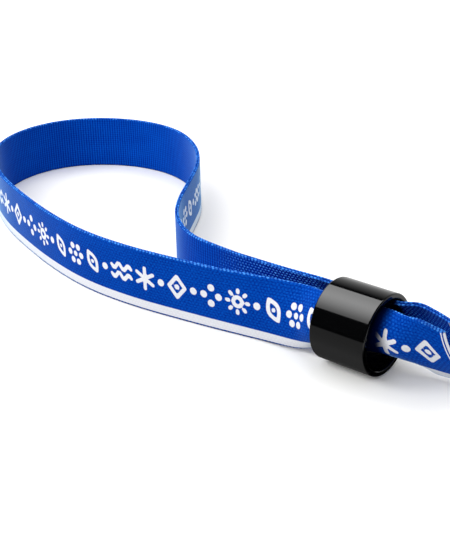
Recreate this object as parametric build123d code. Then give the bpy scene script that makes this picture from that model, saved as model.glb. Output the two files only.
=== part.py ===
"""Woven fabric wristband with a cylindrical barrel closure, lying on a table.

One strip of woven band stands on its lower edge in an open teardrop loop.
Both of its strands pass through the bore of a short plastic barrel, where
they curl to fit, and end in two short heat-cut tails.
Millimetres, +Z up, +X along the barrel's axis from the loop to the tails.
The model is laid out from the barrel's tail-side mouth at x = 0, and then
moved so that the origin is at the middle of the footprint, on the table.
"""
import os
from math import asin, cos, degrees, radians, sin, sqrt

from build123d import *

# Band
band_width = 15.0
band_thickness = 1.0

# Loop in plan
loop_reach = 146.9  # from the barrel's tail-side mouth to the loop's far end
loop_breadth = 60.4  # from the barrel's axis to the loop's far side
strand_bulge = 9.4  # how far the near strand swings out past the axis
neck_length = 27.0  # from the barrel to where the strands stand straight

# Barrel closure
barrel_diameter = 17.7
barrel_length = 13.2
barrel_wall = 1.2
rim_round = 0.35
rim_share = 0.45  # most of the wall that one rounding may take

# Tails, measured along the middle of each from the barrel's mouth
near_tail_length = 16.1
far_tail_length = 13.6
near_cut_angle = 15.5
far_cut_angle = 2.0

# Cloth to barrel wall
wall_clearance = 0.2

# Cross-sections that each gap between two rows of a strand is lofted through
sections_per_gap = 2

# Two headings closer than this count as parallel
parallel_spread = 1e-9

barrel_radius = barrel_diameter / 2
bore_radius = barrel_radius - barrel_wall
axis_height = barrel_radius
curl_room = bore_radius - wall_clearance - band_thickness / 2

# Where the loop passes, in plan: shares of loop_reach, then of the breadth
# that the row names, and the heading in degrees from +X
LOOP_COLUMNS = ("reach", "across", "breadth", "heading")
LOOP = [
    (0.482, -1.00, strand_bulge, 180.0),
    (0.680, -0.46, strand_bulge, 163.0),
    (0.868, 0.11, loop_breadth, 151.0),
    (1.000, 0.57, loop_breadth, 90.0),
    (0.802, 1.00, loop_breadth, 0.0),
    (0.632, 0.81, loop_breadth, -44.0),
    (0.519, 0.405, loop_breadth, -61.0),
    (0.419, 0.119, loop_breadth, -33.0),
]

# Sections of each strand outside the barrel. place is a share of the neck or
# tail length, side a share of the bore radius from the axis, height a share
# of the band width, and the angles are degrees
STRAND_COLUMNS = ("place", "side", "height", "curl", "tilt", "heading")
NEAR_NECK = [
    (1.00, 0.81, 0.500, 0.0, 0.0, 9.0),
    (0.55, 0.58, 0.512, 24.0, 4.0, 8.0),
    (0.25, 0.59, 0.560, 58.0, 8.0, 1.0),
]
FAR_NECK = [
    (1.00, 0.35, 0.500, 0.0, 0.0, -2.0),
    (0.55, 0.50, 0.513, 24.0, 3.0, 5.0),
    (0.25, 0.68, 0.550, 58.0, 5.0, 8.0),
]
NEAR_TAIL = [
    (0.33, 0.576, 0.637, 129.0, -21.5, -14.5),
    (0.62, 0.295, 0.642, 42.0, -22.5, -16.0),
    (1.00, 0.046, 0.540, 53.0, -32.0, -14.0),
]
FAR_TAIL = [
    (0.35, 0.92, 0.600, 90.0, 2.0, -4.0),
    (0.65, 0.80, 0.577, 62.0, 6.0, -10.0),
    (1.00, 0.64, 0.562, 38.0, 13.0, -12.0),
]

# Sections inside the barrel. place is a share of its length from the tails'
# mouth, round the curl's radius as a share of the room in the bore, and
# toward the direction in which that circle rests on the wall
BORE_COLUMNS = ("place", "round", "toward", "tilt")
NEAR_BORE = [
    (1.03, 0.93, 40.0, 7.0),
    (0.50, 0.80, 70.0, 0.0),
    (-0.03, 0.69, 75.0, -11.0),
]
FAR_BORE = [
    (1.03, 0.96, 0.0, 4.0),
    (0.50, 0.98, 0.0, 3.0),
    (-0.03, 0.99, 0.0, 5.0),
]

NEAR = -1
FAR = 1


def rows(columns, table):
    """Each row of a table as a dictionary by column name."""
    return [dict(zip(columns, row)) for row in table]


def unit(angle):
    """Unit vector in plan at an angle in degrees from +X."""
    return Vector(cos(radians(angle)), sin(radians(angle)), 0)


def section_face(station, side):
    """The band's cross-section: a curved strip, hollow side to the axis."""
    middle = Vector(station["x"], station["y"], station["z"])
    tilt, curl, cut = radians(station["tilt"]), station["curl"], radians(station["cut"])
    forward = unit(station["heading"])
    left = Vector(-forward.Y, forward.X, 0)
    outward = left * (side * cos(tilt)) + Vector(0, 0, sin(tilt))
    rise = forward.cross(outward) * side
    slope = rise * cos(cut) - forward * sin(cut)
    width = band_width / cos(cut)
    half = band_thickness / 2

    def point(out, along):
        return middle + outward * out + slope * along

    if curl == 0:
        corners = [point(half, -width / 2), point(half, width / 2)]
        corners += [point(-half, width / 2), point(-half, -width / 2)]
        edges = [Line(a, b) for a, b in zip(corners, corners[1:] + corners[:1])]
        return make_face(edges)
    radius = width / radians(curl)

    def on_curl(out, angle):
        reach = radius + out
        return point(reach * cos(radians(angle)) - radius, reach * sin(radians(angle)))

    low, high = -curl / 2, curl / 2
    outer = ThreePointArc(on_curl(half, low), on_curl(half, 0), on_curl(half, high))
    top = Line(on_curl(half, high), on_curl(-half, high))
    inner = ThreePointArc(on_curl(-half, high), on_curl(-half, 0), on_curl(-half, low))
    bottom = Line(on_curl(-half, low), on_curl(half, low))
    return make_face([outer, top, inner, bottom])


def strand_station(row, side, start, run, cut=0.0):
    """A row outside the barrel as a station, at start plus a share of run."""
    return {
        "x": start + row["place"] * run,
        "y": side * row["side"] * bore_radius,
        "z": row["height"] * band_width,
        "curl": row["curl"],
        "tilt": row["tilt"],
        "heading": row["heading"],
        "cut": cut,
    }


def bore_station(row, side):
    """A row inside the barrel as a station, on a circle that rests on the bore."""
    radius = row["round"] * curl_room
    offset = curl_room - radius
    toward = radians(row["toward"])
    tilt = radians(row["tilt"])
    return {
        "x": -row["place"] * barrel_length,
        "y": side * (offset * cos(toward) + radius * cos(tilt)),
        "z": axis_height + offset * sin(toward) + radius * sin(tilt),
        "curl": degrees(band_width / radius),
        "tilt": row["tilt"],
        "heading": 0.0,
        "cut": 0.0,
    }


def between(stations, steps):
    """The stations with a smooth curve of steps through each gap."""
    smooth = []
    last = len(stations) - 1
    for i in range(last):
        a, b = stations[i], stations[i + 1]
        before, after = stations[max(i - 1, 0)], stations[min(i + 2, last)]
        gap = b["x"] - a["x"]
        for step in range(steps):
            t = step / steps
            station = {}
            for key in a:
                leave = (b[key] - before[key]) / (b["x"] - before["x"]) * gap
                arrive = (after[key] - a[key]) / (after["x"] - a["x"]) * gap
                step_from_a = t * (1 - t) ** 2 * leave
                step_to_b = t**2 * (t - 1) * arrive
                blend = t**2 * (3 - 2 * t)
                station[key] = a[key] * (1 - blend) + b[key] * blend + step_from_a + step_to_b
            smooth.append(station)
    return smooth + [stations[-1]]


def strand(side, neck, bore, tail, tail_length, cut_angle):
    """One strand from the end of the loop, through the barrel, to its tip."""
    stations = [strand_station(r, side, -barrel_length, -neck_length) for r in neck]
    stations += [bore_station(r, side) for r in bore]
    stations += [strand_station(r, side, 0.0, tail_length) for r in tail[:-1]]
    stations.append(strand_station(tail[-1], side, 0.0, tail_length, cut_angle))
    stations = between(stations, sections_per_gap)
    return loft([section_face(station, side) for station in stations], ruled=True)


def biarc(start, start_heading, end, end_heading):
    """Two tangent arcs between two headings: start, tangent and end of each."""
    first, last = unit(start_heading), unit(end_heading)
    across = end - start
    along = across.dot(first + last)
    spread = 2 * (1 - first.dot(last))
    if spread < parallel_spread:
        reach = across.dot(across) / (2 * along)
    else:
        reach = (sqrt(along**2 + spread * across.dot(across)) - along) / spread
    joint = (start + end + (first - last) * reach) / 2
    chord = joint - start
    turned = chord * (2 * chord.dot(first) / chord.dot(chord)) - first
    return [(start, first, joint), (joint, turned, end)]


def offset_arc(arc, out):
    """The arc at a distance out to its left."""
    start, tangent, end = arc
    chord = end - start
    half_turn = asin((tangent.X * chord.Y - tangent.Y * chord.X) / chord.length)
    ahead = chord.normalized()
    normals = [Vector(-tangent.Y, tangent.X, 0), Vector(-ahead.Y, ahead.X, 0)]
    leaving = ahead * (2 * ahead.dot(tangent)) - tangent
    normals.append(Vector(-leaving.Y, leaving.X, 0))
    bow = chord.length / 2 * (sin(half_turn) / (1 + cos(half_turn)))
    middle = (start + end) / 2 - normals[1] * bow
    points = [p + n * out for p, n in zip((start, middle, end), normals)]
    return ThreePointArc(*points)


def loop_solid(near_row, far_row):
    """The loop, standing on its edge, between the two ends of the neck."""
    start_x = -barrel_length - neck_length
    passes = [(Vector(start_x, -near_row["side"] * bore_radius, 0), near_row["heading"] + 180)]
    for row in rows(LOOP_COLUMNS, LOOP):
        place = Vector(-row["reach"] * loop_reach, row["across"] * row["breadth"], 0)
        passes.append((place, row["heading"]))
    passes.append((Vector(start_x, far_row["side"] * bore_radius, 0), far_row["heading"]))
    arcs = []
    for (a, heading_a), (b, heading_b) in zip(passes, passes[1:]):
        arcs += biarc(a, heading_a, b, heading_b)
    half = band_thickness / 2
    left = [offset_arc(arc, half) for arc in arcs]
    right = [offset_arc(arc, -half) for arc in arcs]
    ends = [Line(right[0] @ 0, left[0] @ 0), Line(left[-1] @ 1, right[-1] @ 1)]
    plan = make_face(left + right + ends)
    length = sum((edge.length for edge in left + right), 0.0) / 2
    return extrude(plan, band_width, dir=(0, 0, 1)), length


def woven_band():
    """The whole band as one solid."""
    near_neck, far_neck = rows(STRAND_COLUMNS, NEAR_NECK), rows(STRAND_COLUMNS, FAR_NECK)
    near_tail, far_tail = rows(STRAND_COLUMNS, NEAR_TAIL), rows(STRAND_COLUMNS, FAR_TAIL)
    near_bore, far_bore = rows(BORE_COLUMNS, NEAR_BORE), rows(BORE_COLUMNS, FAR_BORE)
    loop, loop_length = loop_solid(near_neck[0], far_neck[0])
    near = strand(NEAR, near_neck, near_bore, near_tail, near_tail_length, near_cut_angle)
    far = strand(FAR, far_neck, far_bore, far_tail, far_tail_length, far_cut_angle)
    band = loop + near + far
    print(f"band volume / section = {band.volume / (band_width * band_thickness):.1f} mm long")
    print(f"loop between the necks = {loop_length:.1f} mm")
    return band


def barrel_closure():
    """The barrel: a plain tube with softly rounded rims."""
    tube = Plane.YZ * Circle(barrel_radius) - Plane.YZ * Circle(bore_radius)
    body = extrude(tube, -barrel_length)
    rims = body.edges().filter_by(GeomType.CIRCLE)
    rounding = min(rim_round, barrel_wall * rim_share)
    body = fillet(rims, rounding)
    return Pos(0, 0, axis_height) * body


parts = {"woven_band": woven_band(), "barrel_closure": barrel_closure()}
boxes = [part.bounding_box() for part in parts.values()]
low = [min(box.min.X for box in boxes), min(box.min.Y for box in boxes)]
high = [max(box.max.X for box in boxes), max(box.max.Y for box in boxes)]
floor = min(box.min.Z for box in boxes)
centre = Pos(-(low[0] + high[0]) / 2, -(low[1] + high[1]) / 2, -floor)
os.makedirs("parts", exist_ok=True)
for name, part in parts.items():
    moved = centre * part
    moved.label = name
    export_step(moved, f"parts/{name}.step")
    print(name, moved.bounding_box())
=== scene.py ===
"""Looks of a woven fabric wristband with a black barrel closure.

The cloth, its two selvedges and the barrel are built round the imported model,
on the same curve. Sizes are in millimetres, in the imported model's frame.
"""
from math import cos, pi, radians, sin, sqrt, tan

import bpy
import numpy as np
from mathutils import Matrix, Vector


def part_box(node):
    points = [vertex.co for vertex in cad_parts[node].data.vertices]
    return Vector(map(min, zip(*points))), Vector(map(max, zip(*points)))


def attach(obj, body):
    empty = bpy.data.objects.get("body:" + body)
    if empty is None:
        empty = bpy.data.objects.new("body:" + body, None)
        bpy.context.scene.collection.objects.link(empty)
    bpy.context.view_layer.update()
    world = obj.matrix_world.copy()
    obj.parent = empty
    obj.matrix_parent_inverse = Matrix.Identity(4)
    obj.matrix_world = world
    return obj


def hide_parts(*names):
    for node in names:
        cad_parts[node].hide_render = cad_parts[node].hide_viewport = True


MM = 0.001

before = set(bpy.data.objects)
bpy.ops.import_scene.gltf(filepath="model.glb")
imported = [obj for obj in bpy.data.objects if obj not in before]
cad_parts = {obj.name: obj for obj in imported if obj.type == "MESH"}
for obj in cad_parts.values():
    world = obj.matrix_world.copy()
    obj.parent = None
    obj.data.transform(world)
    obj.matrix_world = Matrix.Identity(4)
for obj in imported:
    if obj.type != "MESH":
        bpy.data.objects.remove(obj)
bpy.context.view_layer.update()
barrel_low, barrel_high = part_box("barrel_closure")

# Where the barrel is, which the band is laid out from
mouth_x = barrel_high.x / MM
barrel_length = (barrel_high.x - barrel_low.x) / MM
barrel_radius = (barrel_high.z - barrel_low.z) / MM / 2
axis_y = (barrel_high.y + barrel_low.y) / MM / 2
axis_height = (barrel_high.z + barrel_low.z) / MM / 2

# Band
band_width = 15.0
band_thickness = 1.0
loop_reach = 146.9
loop_breadth = 60.4
strand_bulge = 9.4
neck_length = 27.0
barrel_wall = 1.2
near_tail_length = 16.1
far_tail_length = 13.6
near_cut_angle = 15.5
far_cut_angle = 2.0
wall_clearance = 0.2
bore_radius = barrel_radius - barrel_wall
curl_room = bore_radius - wall_clearance - band_thickness / 2

# The band's course, as in the part's source
LOOP_COLUMNS = ("reach", "across", "breadth", "heading")
LOOP = [
    (0.482, -1.00, strand_bulge, 180.0),
    (0.680, -0.46, strand_bulge, 163.0),
    (0.868, 0.11, loop_breadth, 151.0),
    (1.000, 0.57, loop_breadth, 90.0),
    (0.802, 1.00, loop_breadth, 0.0),
    (0.632, 0.81, loop_breadth, -44.0),
    (0.519, 0.405, loop_breadth, -61.0),
    (0.419, 0.119, loop_breadth, -33.0),
]
STRAND_COLUMNS = ("place", "side", "height", "curl", "tilt", "heading")
NEAR_NECK = [
    (1.00, 0.81, 0.500, 0.0, 0.0, 9.0),
    (0.55, 0.58, 0.512, 24.0, 4.0, 8.0),
    (0.25, 0.59, 0.560, 58.0, 8.0, 1.0),
]
FAR_NECK = [
    (1.00, 0.35, 0.500, 0.0, 0.0, -2.0),
    (0.55, 0.50, 0.513, 24.0, 3.0, 5.0),
    (0.25, 0.68, 0.550, 58.0, 5.0, 8.0),
]
NEAR_TAIL = [
    (0.33, 0.576, 0.637, 129.0, -21.5, -14.5),
    (0.62, 0.295, 0.642, 42.0, -22.5, -16.0),
    (1.00, 0.046, 0.540, 53.0, -32.0, -14.0),
]
FAR_TAIL = [
    (0.35, 0.92, 0.600, 90.0, 2.0, -4.0),
    (0.65, 0.80, 0.577, 62.0, 6.0, -10.0),
    (1.00, 0.64, 0.562, 38.0, 13.0, -12.0),
]
BORE_COLUMNS = ("place", "round", "toward", "tilt")
NEAR_BORE = [
    (1.03, 0.93, 40.0, 7.0),
    (0.50, 0.80, 70.0, 0.0),
    (-0.03, 0.69, 75.0, -11.0),
]
FAR_BORE = [
    (1.03, 0.96, 0.0, 4.0),
    (0.50, 0.98, 0.0, 3.0),
    (-0.03, 0.99, 0.0, 5.0),
]
NEAR = -1
FAR = 1
STEPS_PER_GAP = 24
ARC_STEP = 0.4

# Columns of a section in the course's table
CENTRE = slice(0, 3)
OUTWARD = slice(3, 6)
SLOPE = slice(6, 9)
CURL = 9
WIDTH = 10
SKEW = 11

# Weave: one float of yarn, and how deep the gaps between floats are
float_length = 0.88
float_height = 0.667
weave_relief = 0.05
least_relief = 0.35
face_inset = 0.02
closest_levels = 0.05
rib_pitch = 0.76
row_pitch = 0.667

# Where the weave looks coarse: the inner face up to a distance from the tips, finer on
# the far tail, and a touch of it on the outer face on both sides of the barrel
inner_coarse_length = 45.0
inner_coarse_fade = 18.0
far_tail_fineness = 0.45
far_tail_fade = 4.0
outer_coarseness = 0.05
outer_coarse_spread = 7.0
outer_coarse_tail = near_tail_length - 3.0
outer_coarse_neck = 34.0

# How far the shade painted along the cloth at the barrel reaches, past its ends and into it
near_shade_start = 0.6
near_shade_end = 4.2
far_shade_start = -0.5
far_shade_end = 0.8

# Dyes and ink, and colours that paint light and shade: the weave's gaps and crowns, the selvedges
# and the bore
outer_dip = (0.0002, 0.017, 0.20, 1)
outer_blue = (0.0012, 0.078, 0.49, 1)
inner_dip = (0.0002, 0.022, 0.26, 1)
inner_blue = (0.0016, 0.110, 0.63, 1)
# Coarse weave: painted shade in the gaps, the yarn's dark blue, and a painted highlight on the
# floats' crowns
gap_shade_blue = (0.0001, 0.009, 0.19, 1)
shade_blue = (0.0002, 0.028, 0.38, 1)
crown_highlight_blue = (0.080, 0.36, 1.0, 1)
# Painted shade in the bore and just past its ends
painted_bore_shade = (0.0001, 0.0015, 0.016, 1)
ink_shade = (0.73, 0.74, 0.77, 1)
ink_white = (0.80, 0.81, 0.84, 1)
# Selvedge yarn: the upper painted lighter where light falls on the top edge, the lower painted
# darker for the shade along the floor
upper_loop_shade = (0.0008, 0.038, 0.33, 1)
upper_loop_highlight = (0.060, 0.29, 0.84, 1)
lower_loop_shade = (0.0002, 0.008, 0.11, 1)
lower_loop_highlight = (0.002, 0.05, 0.34, 1)
core_white = (0.80, 0.82, 0.88, 1)
cut_blue = (0.0005, 0.022, 0.22, 1)
cloth_sheen_tint = (0.42, 0.72, 1.0, 1)
selvedge_sheen_tint = (0.6, 0.8, 1.0, 1)

# Unevenness of the yarn in the cloth's materials, and of the print's edge
NOISE_RANGE = (0.3, 0.7)
GRAIN_RANGE = (0.32, 0.68)
yarn_stretch = 2.2
grain_scale = 1.7
patch_scale = 0.10
patch_depth = 0.07
wander_scale = 0.7
yarn_wander = 0.06
print_ragged = 0.03
print_blur = 0.045
ink_range = (0.2, 0.9)

# How light a place of the weave is: by its float, lighter on the crown as painted light and darker
# in the dips as painted shade, and by rib, row and grain
float_share = 0.52
printed_grain = (-0.02, 0.60)
rib_share = 0.32
row_share = 0.12
plain_grain = (0.25, 0.55)

# The painted highlight on a coarse float's crown: how far along, across and by grain it starts and
# ends
crown_length = (0.45, 0.85)
crown_width = (0.55, 0.95)
crown_grain = (0.36, 0.62)
crown_strength = (0.10, 1.3)
gap_range = (0.0, 0.7)

# Surfaces: roughness, fine relief under the shading, and the core's edge on the cut ends
cloth_roughness = 0.7
yarn_roughness = 0.6
floor_roughness = 0.9
fine_relief = 0.4
ink_relief = 0.07
cloth_bump = (0.06, 0.7)
loop_range = (0.05, 1.0)
selvedge_sheen = 0.12
selvedge_sheen_spread = 0.2
core_range = (0.35, 0.6)

# Barrel's plastic: its polish outside, and how much duller it is in the bore
barrel_black = (0.0012, 0.0013, 0.0015, 1)
barrel_roughness = (0.05, 0.09)
bore_dullness = 0.12
bore_fade = 0.8
barrel_index = 1.46
haze_scale = 900.0
ripple_scale = 160.0
ripple_bump = (0.01, 0.12)

# Selvedges: two cords of weft loops along each edge
selvedge_height = 0.22
selvedge_loop = 0.92
selvedge_relief = 0.07
selvedge_seed = 5
weakest_loop = 0.35
points_per_loop = 6
points_round_cord = 8
cord_radius = 0.23
cord_place = 0.27

# Print: a stripe along the lower edge and a row of motifs, over the outer face
stripe_low = 0.46
stripe_high = 2.46
motif_low = 5.16
motif_high = 11.16
stroke = 0.92
dot_radius = 0.88
half_motif = (motif_high - motif_low - stroke) / 2
no_print = 9.0


def rows(columns, table):
    """Each row of a table as a dictionary by column name."""
    return [dict(zip(columns, row)) for row in table]


def plan_unit(angle):
    """Unit vector in plan at an angle in degrees from +X."""
    return np.array([cos(radians(angle)), sin(radians(angle)), 0.0])


def left_of(direction):
    """The direction a quarter turn to the left, in plan."""
    return np.array([-direction[1], direction[0], 0.0])


def strand_station(row, side, start, run, cut=0.0):
    """A row outside the barrel as a station, at start plus a share of run."""
    return {
        "x": start + row["place"] * run,
        "y": side * row["side"] * bore_radius,
        "z": row["height"] * band_width,
        "curl": row["curl"],
        "tilt": row["tilt"],
        "heading": row["heading"],
        "cut": cut,
    }


def bore_station(row, side):
    """A row inside the barrel as a station, on a circle that rests on the bore."""
    radius = row["round"] * curl_room
    offset = curl_room - radius
    toward, tilt = radians(row["toward"]), radians(row["tilt"])
    return {
        "x": -row["place"] * barrel_length,
        "y": side * (offset * cos(toward) + radius * cos(tilt)),
        "z": axis_height + offset * sin(toward) + radius * sin(tilt),
        "curl": band_width / radius * 180 / pi,
        "tilt": row["tilt"],
        "heading": 0.0,
        "cut": 0.0,
    }


def between(stations, steps):
    """The stations with a smooth curve of steps through each gap."""
    smooth = []
    last = len(stations) - 1
    for i in range(last):
        a, b = stations[i], stations[i + 1]
        before, after = stations[max(i - 1, 0)], stations[min(i + 2, last)]
        gap = b["x"] - a["x"]
        for step in range(steps):
            t = step / steps
            station = {}
            for key in a:
                leave = (b[key] - before[key]) / (b["x"] - before["x"]) * gap
                arrive = (after[key] - a[key]) / (after["x"] - a["x"]) * gap
                ease = t**2 * (3 - 2 * t)
                station[key] = a[key] * (1 - ease) + b[key] * ease
                station[key] += t * (1 - t) ** 2 * leave + t**2 * (t - 1) * arrive
            smooth.append(station)
    return smooth + [stations[-1]]


def strand_sections(side, neck, bore, tail, tail_length, cut_angle):
    """Sections of one strand, neck first: centre, outward, slope, curl, width, skew."""
    stations = [strand_station(r, side, -barrel_length, -neck_length) for r in neck]
    stations += [bore_station(r, side) for r in bore]
    stations += [strand_station(r, side, 0.0, tail_length) for r in tail[:-1]]
    stations.append(strand_station(tail[-1], side, 0.0, tail_length, cut_angle))
    sections = []
    for s in between(stations, STEPS_PER_GAP):
        tilt, cut = radians(s["tilt"]), radians(s["cut"])
        forward = plan_unit(s["heading"])
        outward = left_of(forward) * side * cos(tilt) + np.array([0, 0, sin(tilt)])
        rise = np.cross(forward, outward) * side
        slope = rise * cos(cut) - forward * sin(cut)
        centre = [s["x"], s["y"], s["z"]]
        measures = [radians(s["curl"]), band_width / cos(cut), -side * tan(cut)]
        sections.append(np.concatenate([centre, outward, slope, measures]))
    return sections


def arc_points(start, first, end):
    """Points and headings along the arc from start, leaving along first, to end."""
    chord = end - start
    turn = 2 * np.arctan2(first[0] * chord[1] - first[1] * chord[0], first @ chord)
    length = np.linalg.norm(chord) / max(np.sinc(turn / 2 / pi), 1e-6)
    count = max(2, int(length / ARC_STEP))
    for share in np.arange(count) / count:
        swing = turn * share
        reach = length * share * np.sinc(swing / 2 / pi)
        c, s = cos(swing / 2), sin(swing / 2)
        toward = np.array([first[0] * c - first[1] * s, first[0] * s + first[1] * c, 0])
        c, s = cos(swing), sin(swing)
        heading = np.array([first[0] * c - first[1] * s, first[0] * s + first[1] * c, 0])
        yield start + toward * reach, heading


def loop_sections():
    """Sections of the loop, from the near end of the neck to the far end."""
    near, far = rows(STRAND_COLUMNS, NEAR_NECK)[0], rows(STRAND_COLUMNS, FAR_NECK)[0]
    start_x = -barrel_length - neck_length
    passes = [(start_x, -near["side"] * bore_radius, near["heading"] + 180)]
    for row in rows(LOOP_COLUMNS, LOOP):
        passes.append((-row["reach"] * loop_reach, row["across"] * row["breadth"], row["heading"]))
    passes.append((start_x, far["side"] * bore_radius, far["heading"]))
    sections = []
    for (ax, ay, a_heading), (bx, by, b_heading) in zip(passes, passes[1:]):
        a, b = np.array([ax, ay, 0.0]), np.array([bx, by, 0.0])
        first, last = plan_unit(a_heading), plan_unit(b_heading)
        across = b - a
        along = across @ (first + last)
        spread = 2 * (1 - first @ last)
        reach = (sqrt(along**2 + spread * (across @ across)) - along) / spread
        joint = (a + b + (first - last) * reach) / 2
        chord = joint - a
        middle = chord * (2 * (chord @ first) / (chord @ chord)) - first
        for start, leaving, end in ((a, first, joint), (joint, middle, b)):
            for place, heading in arc_points(start, leaving, end):
                place[2] = band_width / 2
                rise = np.array([0.0, 0.0, 1.0])
                measures = [0.0, band_width, 0.0]
                section = np.concatenate([place, left_of(heading), rise, measures])
                sections.append(section)
    return sections


class Course:
    """The band's course from the near tail's tip to the far tail's, by distance along it."""

    def __init__(self):
        near_tables = rows(STRAND_COLUMNS, NEAR_NECK), rows(BORE_COLUMNS, NEAR_BORE)
        far_tables = rows(STRAND_COLUMNS, FAR_NECK), rows(BORE_COLUMNS, FAR_BORE)
        near_tail, far_tail = rows(STRAND_COLUMNS, NEAR_TAIL), rows(STRAND_COLUMNS, FAR_TAIL)
        near = strand_sections(NEAR, *near_tables, near_tail, near_tail_length, near_cut_angle)
        far = strand_sections(FAR, *far_tables, far_tail, far_tail_length, far_cut_angle)
        self.table = np.array(near[:0:-1] + loop_sections() + far)
        steps = np.linalg.norm(np.diff(self.table[:, CENTRE], axis=0), axis=1)
        self.run = np.concatenate([[0.0], np.cumsum(steps)])
        self.length = self.run[-1]
        self.table[:, 0] += mouth_x
        self.table[:, 1] += axis_y

    def at(self, along):
        """Sections at distances along the course."""
        columns = [np.interp(along, self.run, column) for column in self.table.T]
        table = np.stack(columns, 1)
        for part in (OUTWARD, SLOPE):
            table[:, part] /= np.linalg.norm(table[:, part], axis=1, keepdims=True)
        return table

    def surface(self, along, across, depth):
        """Points at distances along, across from the middle and out from the cloth's core."""
        table = self.at(along)
        shape = np.broadcast_shapes((len(along), 1), np.shape(across), np.shape(depth))
        centre, outward = table[:, None, CENTRE], table[:, None, OUTWARD]
        slope = table[:, None, SLOPE]
        curl, width = table[:, CURL, None], table[:, WIDTH, None]
        w = np.broadcast_to(across * width / band_width, shape)
        angle = np.broadcast_to(curl * across / band_width, shape)
        dip = w * angle / 2 * np.sinc(angle / 2 / pi) ** 2
        rise = w * np.sinc(angle / pi)
        normal = outward * np.cos(angle)[..., None] + slope * np.sin(angle)[..., None]
        points = centre - outward * dip[..., None] + slope * rise[..., None]
        return points + normal * np.broadcast_to(depth, shape)[..., None]

    def skew(self, along):
        """How far the yarn's own length runs ahead of the section, for each mm across."""
        return self.at(along)[:, SKEW]


course = Course()


def new_mesh(name, points, faces, materials, face_material=None):
    """A smooth-shaded mesh object from points in mm."""
    mesh = bpy.data.meshes.new(name)
    mesh.from_pydata((points * MM).tolist(), [], faces)
    mesh.shade_smooth()
    for material in materials:
        mesh.materials.append(material)
    if face_material is not None:
        mesh.polygons.foreach_set("material_index", np.asarray(face_material, np.int32))
    mesh.update()
    obj = bpy.data.objects.new(name, mesh)
    bpy.context.scene.collection.objects.link(obj)
    return obj


def add_values(mesh, name, values):
    """A number at each vertex, for the materials to read."""
    attribute = mesh.attributes.new(name, "FLOAT", "POINT")
    attribute.data.foreach_set("value", np.asarray(values, np.float32))


def ring_faces(rings, around):
    """Quads between rings of points that each go round once."""
    first = np.arange(rings - 1)[:, None] * around
    i = np.arange(around)[None, :]
    nxt = (i + 1) % around
    quads = np.stack([first + i, first + nxt, first + around + nxt, first + around + i], -1)
    return quads.reshape(-1, 4)


# Motifs: each is a list of its strokes' edge distances, in mm round its middle


def line(x0, y0, x1, y1):
    """Distance to a straight stroke's edge."""

    def distance(x, y):
        dx, dy = x1 - x0, y1 - y0
        t = np.clip(((x - x0) * dx + (y - y0) * dy) / (dx * dx + dy * dy), 0, 1)
        return np.hypot(x - x0 - dx * t, y - y0 - dy * t) - stroke / 2

    return distance


def dot(cx, cy, radius=dot_radius):
    """Distance to a dot's edge."""
    return lambda x, y: np.hypot(x - cx, y - cy) - radius


def ring(cx, cy, radius):
    """Distance to the edge of a round outline."""
    return lambda x, y: np.abs(np.hypot(x - cx, y - cy) - radius) - stroke / 2


def polyline(*points):
    """Straight strokes joined end to end."""
    return [line(*a, *b) for a, b in zip(points, points[1:])]


def lozenge(half_width=2.1, heart=0.66):
    """A diamond outline round a dot."""
    corners = [(-half_width, 0), (0, half_motif), (half_width, 0), (0, -half_motif)]
    return polyline(*corners, corners[0]) + [dot(0, 0, heart)]


def flake():
    """Three strokes through one point."""
    arms = []
    for angle in (90, 30, -30):
        x, y = half_motif * cos(radians(angle)), half_motif * sin(radians(angle))
        arms.append(line(-x, -y, x, y))
    return arms


def waves(half_width=2.9, height=0.72, apart=1.15, points=13):
    """Two wavy strokes, one over the other."""
    strokes = []
    for level in (apart, -apart):
        xs = np.linspace(-half_width, half_width, points)
        ys = level + height * np.sin(xs / half_width * 2 * pi)
        strokes += polyline(*zip(xs, ys))
    return strokes


def sun(disc=1.05, ray_start=2.25, ray_end=2.7, rays=8):
    """A ring with short rays round it."""
    strokes = [ring(0, 0, disc)]
    for k in range(rays):
        c, s = cos(k * 2 * pi / rays), sin(k * 2 * pi / rays)
        strokes.append(line(ray_start * c, ray_start * s, ray_end * c, ray_end * s))
    return strokes


def blossom(heart=0.72, petal=0.82, petal_place=2.15, petals=6):
    """A dot with dots round it."""
    dots = [dot(0, 0, heart)]
    for k in range(petals):
        angle = k * 2 * pi / petals
        dots.append(dot(petal_place * cos(angle), petal_place * sin(angle), petal))
    return dots


def leaf(half_width=1.35, lean=32, heart=0.5, points=11):
    """A leaning pointed oval round a dot."""
    steps = np.linspace(-half_motif, half_motif, points)
    bow = half_width * np.cos(steps / half_motif * pi / 2)
    c, s = cos(radians(lean)), sin(radians(lean))
    strokes = []
    for side in (1, -1):
        xs, ys = side * bow * c + steps * s, steps * c - side * bow * s
        strokes += polyline(*zip(xs, ys))
    return strokes + [dot(0, 0, heart)]


def four_dots(place=1.9):
    """A dot on each side of a middle left empty."""
    return [dot(-place, 0), dot(place, 0), dot(0, place), dot(0, -place)]


def one_dot():
    """A dot between two motifs."""
    return [dot(0, 0)]


MOTIF_COLUMNS = ("draw", "width")
MOTIFS = [
    (lozenge, 5.1),
    (one_dot, 1.8),
    (flake, 5.3),
    (waves, 6.7),
    (one_dot, 1.8),
    (leaf, 4.9),
    (blossom, 6.0),
    (leaf, 4.9),
    (one_dot, 1.8),
    (sun, 6.0),
    (four_dots, 5.6),
    (one_dot, 1.8),
]
motif_gap = 0.9
motif_margin = 1.0
first_motif = 3.0

# Heat-cut ends: a pale line along them on both faces, and a pale core in their middle
pale_line_place = 0.42
pale_line_width = 0.38
CAP_SHARES = (0.0, 0.12, 0.2, 0.8, 0.88, 1.0)
core_half_share = 0.35


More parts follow.
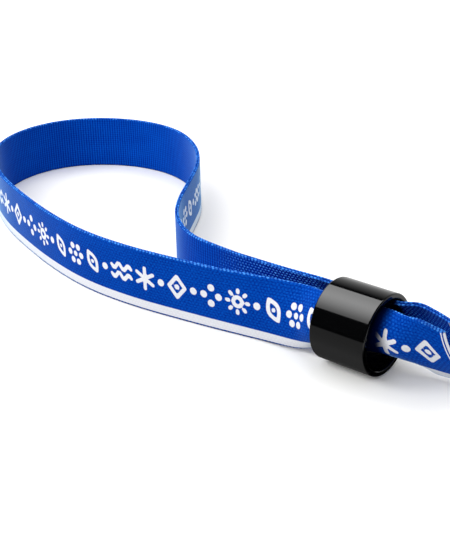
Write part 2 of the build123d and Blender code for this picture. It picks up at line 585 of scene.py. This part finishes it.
def print_distance(along, across):
    """Distance in mm to the nearest edge of the print, negative where it is white."""
    height = across + band_width / 2
    found = np.abs(height - (stripe_low + stripe_high) / 2) - (stripe_high - stripe_low) / 2
    middle = (motif_low + motif_high) / 2
    placed = first_motif
    queue = rows(MOTIF_COLUMNS, MOTIFS)
    k = 0
    while placed < course.length:
        motif = queue[k % len(queue)]
        centre = placed + motif["width"] / 2
        near = np.abs(along - centre) < motif["width"] / 2 + motif_margin
        x, y = along[near] - centre, height[near] - middle
        if x.size:
            nearest = np.min([stroke_edge(x, y) for stroke_edge in motif["draw"]()], axis=0)
            found[near] = np.minimum(found[near], nearest)
        placed += motif["width"] + motif_gap
        k += 1
    return found


def white_distance(skewed, across, along, side):
    """Distance to what is white: the print outside, and the pale cut ends on both faces."""
    printed = np.where(side[None, :] > 0, print_distance(skewed, across), no_print)
    tip = np.minimum(along, course.length - along)[:, None]
    line_out = np.abs(tip - pale_line_place) - pale_line_width / 2
    return np.minimum(np.where(tip < pale_line_place, no_print, printed), line_out)


# Places of the mix node's sockets
MIX_SHARE = 0
MIX_NUMBERS = (2, 3)
MIX_COLOURS = (6, 7)
MIX_NUMBER_OUT = 0
MIX_COLOUR_OUT = 2


class Shader:
    """A material's node tree, built by short calls."""

    def __init__(self, name):
        self.material = bpy.data.materials.new(name)
        self.material.use_nodes = True
        self.tree = self.material.node_tree
        self.principled = self.tree.nodes["Principled BSDF"]

    def node(self, kind, **settings):
        made = self.tree.nodes.new(kind)
        for key, value in settings.items():
            setattr(made, key, value)
        return made

    def feed(self, socket, value):
        """Link another node's output to a socket, or set the socket to a constant."""
        if isinstance(value, bpy.types.NodeSocket):
            self.tree.links.new(value, socket)
        else:
            socket.default_value = value

    def math(self, operation, *values, clamp=False):
        made = self.node("ShaderNodeMath", operation=operation, use_clamp=clamp)
        for socket, value in zip(made.inputs, values):
            self.feed(socket, value)
        return made.outputs[0]

    def length(self, a, b):
        """The length of the hypotenuse over a and b."""
        squares = [self.math("POWER", each, 2.0) for each in (a, b)]
        return self.math("SQRT", self.math("ADD", *squares))

    def attribute(self, name):
        return self.node("ShaderNodeAttribute", attribute_name=name).outputs["Fac"]

    def noise(self, vector, scale, detail):
        made = self.node("ShaderNodeTexNoise")
        self.feed(made.inputs["Vector"], vector)
        self.feed(made.inputs["Scale"], scale)
        self.feed(made.inputs["Detail"], detail)
        return made.outputs["Fac"]

    def remap(self, value, low, high, to_low=0.0, to_high=1.0, smooth=False):
        made = self.node("ShaderNodeMapRange")
        if smooth:
            made.interpolation_type = "SMOOTHSTEP"
        for socket, each in zip(made.inputs, (value, low, high, to_low, to_high)):
            self.feed(socket, each)
        return made.outputs[0]

    def fade(self, value, span, levels=(0.0, 1.0), smooth=False):
        """A distance in metres, mapped from a span in mm to two levels."""
        low, high = span
        return self.remap(value, low * MM, high * MM, *levels, smooth=smooth)

    def mix(self, share, a, b):
        made = self.node("ShaderNodeMix", data_type="RGBA")
        self.feed(made.inputs[MIX_SHARE], share)
        for socket, colour in zip(MIX_COLOURS, (a, b)):
            self.feed(made.inputs[socket], colour)
        return made.outputs[MIX_COLOUR_OUT]

    def set(self, **values):
        """Feed the surface's sockets, with _ for each space in their names."""
        for name, value in values.items():
            self.feed(self.principled.inputs[name.replace("_", " ")], value)

    def bump(self, height, distance, strength):
        """Fine relief in the shading, distance mm deep."""
        made = self.node("ShaderNodeBump")
        self.feed(made.inputs["Height"], height)
        made.inputs["Distance"].default_value = distance * MM
        made.inputs["Strength"].default_value = strength
        self.feed(self.principled.inputs["Normal"], made.outputs[0])


def brick_height(shader, along, across):
    """Floats in a brick pattern: how far along and across each is, 0 to 1 at its middle."""
    row = shader.math("DIVIDE", across, float_height)
    parity = shader.math("MODULO", shader.math("FLOOR", row), 2.0)
    share = shader.math("DIVIDE", along, float_length)
    place = shader.math("MULTIPLY_ADD", parity, 0.5, share)
    lengthwise = shader.math("SINE", shader.math("MULTIPLY", shader.math("FRACT", place), pi))
    crosswise = shader.math("SINE", shader.math("MULTIPLY", shader.math("FRACT", row), pi))
    return lengthwise, crosswise


def printed_evenness(shader, height, grain):
    """How light the printed face's weave is: painted light on its floats' crowns and painted shade
    in their dips, with their grain.
    """
    soft = shader.remap(grain, *GRAIN_RANGE, *printed_grain)
    return shader.math("MULTIPLY_ADD", height, float_share, soft)


def plain_evenness(shader, along, across, grain):
    """How light the inner face's weave is, from its ribs, rows and grain."""
    rib = shader.math("SINE", shader.math("MULTIPLY", along, 2 * pi / rib_pitch))
    row = shader.math("SINE", shader.math("MULTIPLY", across, 2 * pi / row_pitch))
    soft = shader.remap(grain, *GRAIN_RANGE, *plain_grain)
    soft = shader.math("MULTIPLY_ADD", row, row_share, soft)
    return shader.math("MULTIPLY_ADD", rib, rib_share, soft)


def coarse_colour(shader, lengthwise, crosswise, height, grain):
    """The coarse weave: dark, with painted shade in the gaps between floats and a small painted
    highlight on each float's crown.
    """
    along_crown = shader.remap(lengthwise, *crown_length, smooth=True)
    across_crown = shader.remap(crosswise, *crown_width, smooth=True)
    crown = shader.math("MULTIPLY", along_crown, across_crown)
    uneven = shader.remap(grain, *crown_grain, *crown_strength)
    crown = shader.math("MULTIPLY", crown, uneven, clamp=True)
    ground = shader.mix(shader.remap(height, *gap_range), gap_shade_blue, shade_blue)
    return shader.mix(crown, ground, crown_highlight_blue)


def cloth_material(name, printed, sheen, sheen_spread=0.28):
    """Woven polyester: fine and even, coarse with painted highlights on its floats where coarse is
    1, and painted shade in and near the bore.
    """
    shader = Shader(name)
    along, across = shader.attribute("along"), shader.attribute("across")
    coarse = shader.attribute("coarse")
    spot = shader.node("ShaderNodeCombineXYZ")
    shader.feed(spot.inputs[0], along)
    shader.feed(spot.inputs[1], shader.math("MULTIPLY", across, yarn_stretch))
    place = spot.outputs[0]
    grain = shader.noise(place, grain_scale, 3.0)
    patch = shader.noise(place, patch_scale, 2.0)
    wander = shader.noise(place, wander_scale, 1.0)
    wander = shader.remap(wander, *NOISE_RANGE, -yarn_wander, yarn_wander)
    wavy = shader.math("ADD", across, wander)
    lengthwise, crosswise = brick_height(shader, along, wavy)
    height = shader.math("MULTIPLY", lengthwise, crosswise)
    if printed:
        even = printed_evenness(shader, height, grain)
    else:
        even = plain_evenness(shader, along, across, grain)
    patch = shader.remap(patch, *NOISE_RANGE, -patch_depth, patch_depth)
    even = shader.math("ADD", even, patch, clamp=True)
    dip, body = (outer_dip, outer_blue) if printed else (inner_dip, inner_blue)
    rough = coarse_colour(shader, lengthwise, crosswise, height, grain)
    colour = shader.mix(coarse, shader.mix(even, dip, body), rough)
    relief = shader.mix(coarse, shader.math("MULTIPLY", even, fine_relief), height)
    ragged = shader.remap(grain, *NOISE_RANGE, -print_ragged, print_ragged)
    edge = shader.math("ADD", shader.attribute("print_edge"), ragged)
    ink = shader.remap(edge, -print_blur, print_blur, 1.0, 0.0)
    # The print takes the weave's painted light and shade too
    white = shader.mix(shader.remap(even, *ink_range), ink_shade, ink_white)
    colour = shader.mix(ink, colour, white)
    relief = shader.mix(ink, relief, shader.math("MULTIPLY", even, ink_relief))
    # Painted shade: the cloth is darkened to near black in the bore and just past its ends
    colour = shader.mix(shader.attribute("free_of_painted_shade"), painted_bore_shade, colour)
    shader.set(Base_Color=colour, Roughness=cloth_roughness, Specular_IOR_Level=0.0)
    shader.set(Sheen_Weight=sheen, Sheen_Roughness=sheen_spread, Sheen_Tint=cloth_sheen_tint)
    shader.bump(relief, *cloth_bump)
    return shader.material


def selvedge_material(name, dip, top):
    """Loops of weft along an edge, with painted highlight on their crowns, unevenly so, and painted
    shade between them.
    """
    shader = Shader(name)
    crown = shader.attribute("crown")
    lift = shader.remap(crown, *loop_range, smooth=True)
    colour = shader.mix(lift, dip, top)
    # Painted shade: the loops are darkened to near black in the bore and just past its ends
    colour = shader.mix(shader.attribute("free_of_painted_shade"), painted_bore_shade, colour)
    shader.set(Base_Color=colour, Roughness=yarn_roughness, Specular_IOR_Level=0.0)
    shader.set(Sheen_Weight=selvedge_sheen, Sheen_Roughness=selvedge_sheen_spread)
    shader.set(Sheen_Tint=selvedge_sheen_tint)
    return shader.material


def cut_material():
    """The heat-cut ends: a white core between blue faces."""
    shader = Shader("cut_edge")
    share = shader.remap(shader.attribute("core"), *core_range)
    colour = shader.mix(share, core_white, cut_blue)
    shader.set(Base_Color=colour, Roughness=yarn_roughness, Specular_IOR_Level=0.0)
    return shader.material


def barrel_material():
    """Polished black plastic with a faint unevenness, duller inside the bore."""
    shader = Shader("barrel_plastic")
    coordinates = shader.node("ShaderNodeTexCoord").outputs["Object"]
    haze = shader.noise(coordinates, haze_scale, 3.0)
    axis = barrel.matrix_world.inverted() @ Vector((0, axis_y * MM, axis_height * MM))
    split = shader.node("ShaderNodeSeparateXYZ")
    shader.feed(split.inputs[0], coordinates)
    from_axis = shader.math("SUBTRACT", split.outputs[1], axis.y)
    above_axis = shader.math("SUBTRACT", split.outputs[2], axis.z)
    radius = shader.length(from_axis, above_axis)
    outside = shader.fade(radius, (bore_radius, bore_radius + bore_fade), smooth=True)
    polish = shader.remap(haze, *NOISE_RANGE, *barrel_roughness)
    dull = shader.math("MULTIPLY", shader.math("SUBTRACT", 1.0, outside), bore_dullness)
    roughness = shader.math("ADD", polish, dull)
    shader.set(Base_Color=barrel_black, Roughness=roughness, IOR=barrel_index)
    shader.bump(shader.noise(coordinates, ripple_scale, 1.0), *ripple_bump)
    return shader.material


# The cloth

# Slots of its faces
OUTER, INNER, CUT, SHADED, COARSE = range(5)


def cloth_profile():
    """Places round the cloth's section: across it, and which face each is on."""
    reach = band_width / 2 - selvedge_height
    half_rows = 2 * int(round(band_width / float_height / 2 - 0.5))
    levels = np.arange(-half_rows, half_rows + 1) * float_height / 2
    levels = levels[np.abs(levels) < reach - closest_levels]
    levels = np.concatenate([[-reach], levels, [reach]])
    across = np.concatenate([levels, levels[::-1]])
    side = np.concatenate([np.ones(len(levels)), -np.ones(len(levels))])
    return across, side


def woven_height(along, across):
    """The yarn's height, 0 to 1, as in the material's pattern."""
    row = across / float_height
    parity = np.floor(row) % 2
    place = along / float_length + parity * 0.5
    lengthwise = np.sin(pi * (place % 1))
    crosswise = np.sin(pi * (row % 1))
    return lengthwise * crosswise


def free_of_painted_shade(x, near):
    """How free a place is of the shade painted at the barrel: 0 in the bore and 1 in the open."""
    beyond = x - mouth_x
    before = mouth_x - barrel_length - x
    start = np.where(near, near_shade_start, far_shade_start)
    end = np.where(near, near_shade_end, far_shade_end)
    out = np.clip((beyond - start) / (end - start), 0, 1)
    back = np.clip((before - far_shade_start) / (far_shade_end - far_shade_start), 0, 1)
    share = np.maximum(out, back)
    return share**2 * (3 - 2 * share)


def coarseness(along, side):
    """How coarse the weave looks: towards the barrel, and most on the inner face."""
    from_tip = np.minimum(along, course.length - along)
    fading = (inner_coarse_length + inner_coarse_fade - from_tip) / inner_coarse_fade
    on_far_tail = np.clip((along - course.length + far_tail_length) / far_tail_fade, 0, 1)
    inner = np.clip(fading, 0, 1) * (1 - far_tail_fineness * on_far_tail)
    from_tail, from_neck = np.abs(from_tip - outer_coarse_tail), np.abs(from_tip - outer_coarse_neck)
    from_barrel = np.minimum(from_tail, from_neck)
    outer = outer_coarseness * np.exp(-((from_barrel / outer_coarse_spread) ** 2))
    return np.where(side > 0, outer, inner)


def end_cap(ring, outward):
    """The cut end over the cloth's last ring: its points, its quads, and where it is core."""
    half = len(ring) // 2
    outer, inner = ring[:half], ring[half:][::-1]
    shares = np.array(CAP_SHARES)
    grid = outer[None] * (1 - shares[:, None, None]) + inner[None] * shares[:, None, None]
    first = (np.arange(len(shares) - 1) * half)[:, None]
    i = first + np.arange(half - 1)[None, :]
    quads = np.stack([i, i + 1, i + half + 1, i + half], -1).reshape(-1, 4)
    core = np.repeat(np.where(np.abs(shares - 0.5) < core_half_share, 0.0, 1.0), half)
    return grid.reshape(-1, 3), quads if outward else quads[:, ::-1], core


def cloth():
    """The woven cloth as one closed mesh, with its floats in relief."""
    count = int(round(course.length / (float_length / 2))) + 1
    along = np.linspace(0, course.length, count)
    across, side = cloth_profile()
    skewed = along[:, None] + course.skew(along)[:, None] * across[None, :]
    wide = np.broadcast_to(across, skewed.shape)
    height = woven_height(skewed, wide)
    coarse = coarseness(along[:, None], side[None, :])
    relief = weave_relief * (least_relief + (1 - least_relief) * coarse)
    depth = side * (band_thickness / 2 - face_inset - relief * (1 - height))
    points = course.surface(along, across[None, :], depth)
    around = len(across)
    quads = [ring_faces(count, around)]
    ring_slots = np.full(around, OUTER)
    ring_slots[around // 2 :] = INNER
    ring_slots[[around // 2 - 1, around - 1]] = CUT
    # Painted shade in and near the bore, where the faces also take the copy without sheen
    unshaded = free_of_painted_shade(points[:, :, 0], along[:, None] < course.length / 2)
    slots = np.broadcast_to(ring_slots, unshaded.shape)[1:]
    slots = np.where((slots == INNER) & (coarse[1:] > 0.5), COARSE, slots)
    face_material = [np.where(unshaded[1:] < 0.5, SHADED, slots).ravel()]
    layers = [points.reshape(-1, 3)]
    values = {
        "along": [skewed.ravel()],
        "across": [wide.ravel()],
        "coarse": [coarse.ravel()],
        "print_edge": [white_distance(skewed, wide, along, side).ravel()],
        "core": [np.ones(skewed.size)],
        "free_of_painted_shade": [unshaded.ravel()],
    }
    total = skewed.size
    for ring, outward in ((points[0], False), (points[-1], True)):
        cap, cap_quads, core = end_cap(ring, outward)
        layers.append(cap)
        quads.append(cap_quads + total)
        face_material.append(np.full(len(cap_quads), CUT))
        total += len(cap)
        for name, parts in values.items():
            parts.append(core if name == "core" else np.full(len(cap), name == "free_of_painted_shade"))
    obj = new_mesh(
        "woven_cloth", np.concatenate(layers), np.concatenate(quads).tolist(),
        [outer_cloth, inner_cloth, cut_edge, shaded_cloth, coarse_cloth],
        np.concatenate(face_material),
    )
    for name, parts in values.items():
        add_values(obj.data, name, np.concatenate(parts))
    return obj


def selvedge(name, edge, yarn):
    """Two cords of weft loops along one edge of the cloth, no two loops quite alike."""
    uneven = np.random.default_rng(selvedge_seed)
    count = int(round(course.length / selvedge_loop * points_per_loop)) + 1
    along = np.linspace(0, course.length, count)
    around = points_round_cord
    turn = np.arange(around) * 2 * pi / around
    points, faces, crowns, unshaded_parts = [], [], [], []
    for cord, side in enumerate((1, -1)):
        loops = along / selvedge_loop + 0.5 * cord
        strength = uneven.uniform(weakest_loop, 1.0, int(loops[-1]) + 2)[loops.astype(int)]
        swell = np.abs(np.sin(pi * loops)) * strength
        size = 1 - (1 - swell) * selvedge_relief / cord_radius
        across = np.outer(cord_radius * size, np.sin(turn))
        across += edge * (band_width / 2 - cord_radius)
        depth = side * cord_place + np.outer(cord_radius * size, np.cos(turn))
        ring_points = course.surface(along, across, depth)
        offset = cord * count * around
        points.append(ring_points.reshape(-1, 3))
        faces += (ring_faces(count, around) + offset).tolist()
        faces.append((np.arange(around)[::-1] + offset).tolist())
        faces.append((np.arange(around) + (count - 1) * around + offset).tolist())
        crowns.append(np.repeat(swell, around))
        near = along[:, None] < course.length / 2
        # Painted shade of the loops in and near the bore
        unshaded_parts.append(free_of_painted_shade(ring_points[:, :, 0], near).ravel())
    obj = new_mesh(name, np.concatenate(points), faces, [yarn])
    add_values(obj.data, "crown", np.concatenate(crowns))
    add_values(obj.data, "free_of_painted_shade", np.concatenate(unshaded_parts))
    return obj


outer_cloth = cloth_material("outer_cloth", printed=True, sheen=1.0)
inner_cloth = cloth_material("inner_cloth", printed=False, sheen=0.45, sheen_spread=0.33)
coarse_cloth = cloth_material("coarse_cloth", printed=False, sheen=0.08)
# A copy without sheen, for the cloth under the painted shade at the bore
shaded_cloth = cloth_material("shaded_cloth", printed=True, sheen=0.0)
# Lit and shaded copies of one yarn: the upper painted lighter, the lower painted darker
lit_upper_yarn = selvedge_material("lit_upper_yarn", upper_loop_shade, upper_loop_highlight)
shaded_lower_yarn = selvedge_material("shaded_lower_yarn", lower_loop_shade, lower_loop_highlight)
cut_edge = cut_material()

woven_cloth = cloth()
upper_selvedge = selvedge("upper_selvedge", 1, lit_upper_yarn)
lower_selvedge = selvedge("lower_selvedge", -1, shaded_lower_yarn)
for piece in (woven_cloth, upper_selvedge, lower_selvedge):
    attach(piece, "root")
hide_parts("woven_band")

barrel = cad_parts["barrel_closure"]
barrel.data.materials.clear()
barrel.data.materials.append(barrel_material())

# Stage


def plane(name, centre, half_x, half_y, material):
    """A flat rectangle facing up, in mm."""
    x, y, z = centre
    corners = [(x - half_x, y - half_y, z), (x + half_x, y - half_y, z)]
    corners += [(x + half_x, y + half_y, z), (x - half_x, y + half_y, z)]
    obj = new_mesh(name, np.array(corners, float), [[0, 1, 2, 3]], [material])
    return obj


def diffuse_material(name, colour):
    """A plain matt surface without shine."""
    shader = Shader(name)
    shader.set(Base_Color=colour, Roughness=floor_roughness, Specular_IOR_Level=0.0)
    return shader.material


def glow_material(name, strength):
    """A light panel; strength makes its brightness from the shader and the place on it."""
    shader = Shader(name)
    tree = shader.tree
    tree.nodes.remove(shader.principled)
    emission = shader.node("ShaderNodeEmission")
    output = tree.nodes["Material Output"]
    coordinates = shader.node("ShaderNodeTexCoord")
    split = shader.node("ShaderNodeSeparateXYZ")
    shader.feed(split.inputs[0], coordinates.outputs["Object"])
    shader.feed(emission.inputs["Strength"], strength(shader, split.outputs))
    tree.links.new(emission.outputs[0], output.inputs[0])
    return shader.material


# What the barrel sees in its polish: spans in mm, and how bright it is at their ends
near_span, near_levels = (4, 14), (0.2, 1.0)
behind_span, behind_levels = (axis_y + 4, axis_y + 14), (0.38, 0.95)
beside_span, beside_levels = (16, 40), (0.0, 0.9)
past_span = (-2, 1)
front_span = (-125, -100)
rising_span, rising_levels = (-540, -30), (2.2, 6.6)
falling_span, falling_levels = (-90, 260), (1.0, 0.62)
upward_span, upward_levels = (0, 850), (0.95, 0.0)


def floor_strength(shader, place):
    """The floor as the barrel sees it: dim in front, and darker close to the barrel as a painted
    shadow.
    """
    x, y = place["X"], place["Y"]
    from_axis = shader.math("ABSOLUTE", shader.math("SUBTRACT", y, axis_y * MM))
    from_mouth = shader.math("SUBTRACT", x, mouth_x * MM)
    near = shader.fade(from_axis, near_span, near_levels, smooth=True)
    under = shader.math("MULTIPLY", near, shader.fade(y, behind_span, behind_levels))
    distance = shader.length(from_mouth, from_axis)
    beside = shader.fade(distance, beside_span, beside_levels, smooth=True)
    past = shader.fade(from_mouth, past_span)
    under = shader.math("MULTIPLY", under, shader.math("SUBTRACT", 1.0, past))
    lit = shader.math("ADD", under, shader.math("MULTIPLY", beside, past))
    return shader.math("MULTIPLY", lit, shader.fade(y, front_span))


def softbox_strength(shader, place):
    """The overhead softbox as the barrel sees it: brightest across its middle."""
    rising = shader.fade(place["Y"], rising_span, rising_levels, smooth=True)
    falling = shader.fade(place["Y"], falling_span, falling_levels, smooth=True)
    return shader.math("MULTIPLY", rising, falling)


def wall_strength(shader, place):
    """The background as the barrel sees it, fading upward."""
    return shader.fade(place["Z"], upward_span, upward_levels)


def only_in_reflections(obj):
    """The panel shows in glossy reflections and does nothing else."""
    obj.visible_camera = False
    obj.visible_diffuse = False
    obj.visible_shadow = False
    obj.visible_transmission = False
    obj.visible_volume_scatter = False


floor_level = -0.02
floor_size = 4000
floor_lift = 0.03
floor_white = (0.925, 0.925, 0.912, 1)
bounce_white = (0.85, 0.85, 0.87, 1)
white_floor = diffuse_material("white_floor", floor_white)
lifted = white_floor.node_tree.nodes["Principled BSDF"]
lifted.inputs["Emission Color"].default_value = (1, 1, 1, 1)
lifted.inputs["Emission Strength"].default_value = floor_lift
floor = plane("floor", (0, 0, floor_level), floor_size, floor_size, white_floor)
floor.visible_glossy = False
floor.visible_diffuse = False
pale_bounce = diffuse_material("bounce", bounce_white)
bounce = plane("floor_bounce", (0, 0, 2 * floor_level), floor_size, floor_size, pale_bounce)
bounce.visible_camera = False
bounce.visible_glossy = False
bounce.visible_shadow = False

glow_reach = 600
glow = glow_material("floor_glow", floor_strength)
centre = (0, 0, floor_level)
only_in_reflections(plane("floor_in_reflections", centre, glow_reach, glow_reach, glow))

softbox_place = (-260, -140, 500)
softbox_half_x = 330
softbox_half_y = 400
glow = glow_material("softbox_glow", softbox_strength)
softbox = plane("softbox_in_reflections", softbox_place, softbox_half_x, softbox_half_y, glow)
only_in_reflections(softbox)

wall_y = 600
wall_half = 2500
wall_height = 950
wall_corners = [(-wall_half, wall_y, 0), (wall_half, wall_y, 0)]
wall_corners += [(wall_half, wall_y, wall_height), (-wall_half, wall_y, wall_height)]
glow = glow_material("wall_glow", wall_strength)
wall = new_mesh("wall_in_reflections", np.array(wall_corners, float), [[0, 1, 2, 3]], [glow])
only_in_reflections(wall)


def area_light(name, centre, target, width, depth, power):
    """A white softbox in mm that faces its target and isn't seen itself."""
    data = bpy.data.lights.new(name, "AREA")
    data.shape = "RECTANGLE"
    data.size = width * MM
    data.size_y = depth * MM
    data.energy = power
    obj = bpy.data.objects.new(name, data)
    bpy.context.scene.collection.objects.link(obj)
    away = Vector([(c - t) * MM for c, t in zip(centre, target)])
    obj.rotation_euler = away.to_track_quat("Z", "Y").to_euler()
    obj.location = [c * MM for c in centre]
    obj.visible_camera = False
    obj.visible_glossy = False


LIGHT_COLUMNS = ("name", "centre", "target", "width", "depth", "power")
LIGHTS = [
    ("key_softbox", (-380, -380, 400), (0, 0, 0), 250, 250, 1.5),
    ("overhead_softbox", (-300, -60, 620), (-300, -60, 0), 900, 900, 1.7),
    ("left_softbox", (-480, 150, 220), (-60, 0, 0), 400, 400, 1.4),
    ("back_softbox", (-100, 350, 600), (0, 0, 0), 500, 500, 1.3),
    ("front_softbox", (0, -430, 420), (0, 0, 0), 400, 250, 1.2),
]
for light in rows(LIGHT_COLUMNS, LIGHTS):
    area_light(**light)

# The room's own even light
world_fill = 0.60
background_level = 1.0
reflected_level = 0.01
world = bpy.data.worlds.new("studio")
bpy.context.scene.world = world
world.use_nodes = True
world_tree = world.node_tree
background = world_tree.nodes["Background"]
background.inputs["Color"].default_value = (1, 1, 1, 1)
light_path = world_tree.nodes.new("ShaderNodeLightPath")
world_level = None
for kind, level in (("Is Camera Ray", background_level), ("Is Glossy Ray", reflected_level)):
    choice = world_tree.nodes.new("ShaderNodeMix")
    otherwise, chosen = [choice.inputs[socket] for socket in MIX_NUMBERS]
    otherwise.default_value = world_fill
    chosen.default_value = level
    world_tree.links.new(light_path.outputs[kind], choice.inputs[MIX_SHARE])
    if world_level:
        world_tree.links.new(world_level, otherwise)
    world_level = choice.outputs[MIX_NUMBER_OUT]
world_tree.links.new(world_level, background.inputs["Strength"])

bpy.context.scene.view_settings.view_transform = "Standard"

# Camera, at the photograph's viewing angle
image_height = 540.0
focal_pixels = 1123.0
camera_place = (mouth_x + 103.4, axis_y - 172.7, 118.6)
camera_turn = radians(40.19)
camera_down = radians(25.38)
camera_roll = radians(-1.40)
nearest_seen = 1
farthest_seen = 20000


def look():
    """The camera's rotation: right, up and back."""
    flat = np.array([-sin(camera_turn), cos(camera_turn), 0.0])
    ahead = flat * cos(camera_down) + np.array([0.0, 0.0, -sin(camera_down)])
    level = np.cross(ahead, [0.0, 0.0, 1.0])
    level /= np.linalg.norm(level)
    upright = np.cross(level, ahead)
    right = level * cos(camera_roll) + upright * sin(camera_roll)
    up = upright * cos(camera_roll) - level * sin(camera_roll)
    return Matrix(np.stack([right, up, -ahead], 1).tolist())


camera_data = bpy.data.cameras.new("camera")
camera_data.lens = focal_pixels / image_height * camera_data.sensor_width
camera_data.clip_start = nearest_seen * MM
camera_data.clip_end = farthest_seen * MM
camera = bpy.data.objects.new("camera", camera_data)
bpy.context.scene.collection.objects.link(camera)
camera.matrix_world = Matrix.Translation([c * MM for c in camera_place]) @ look().to_4x4()
bpy.context.scene.camera = camera
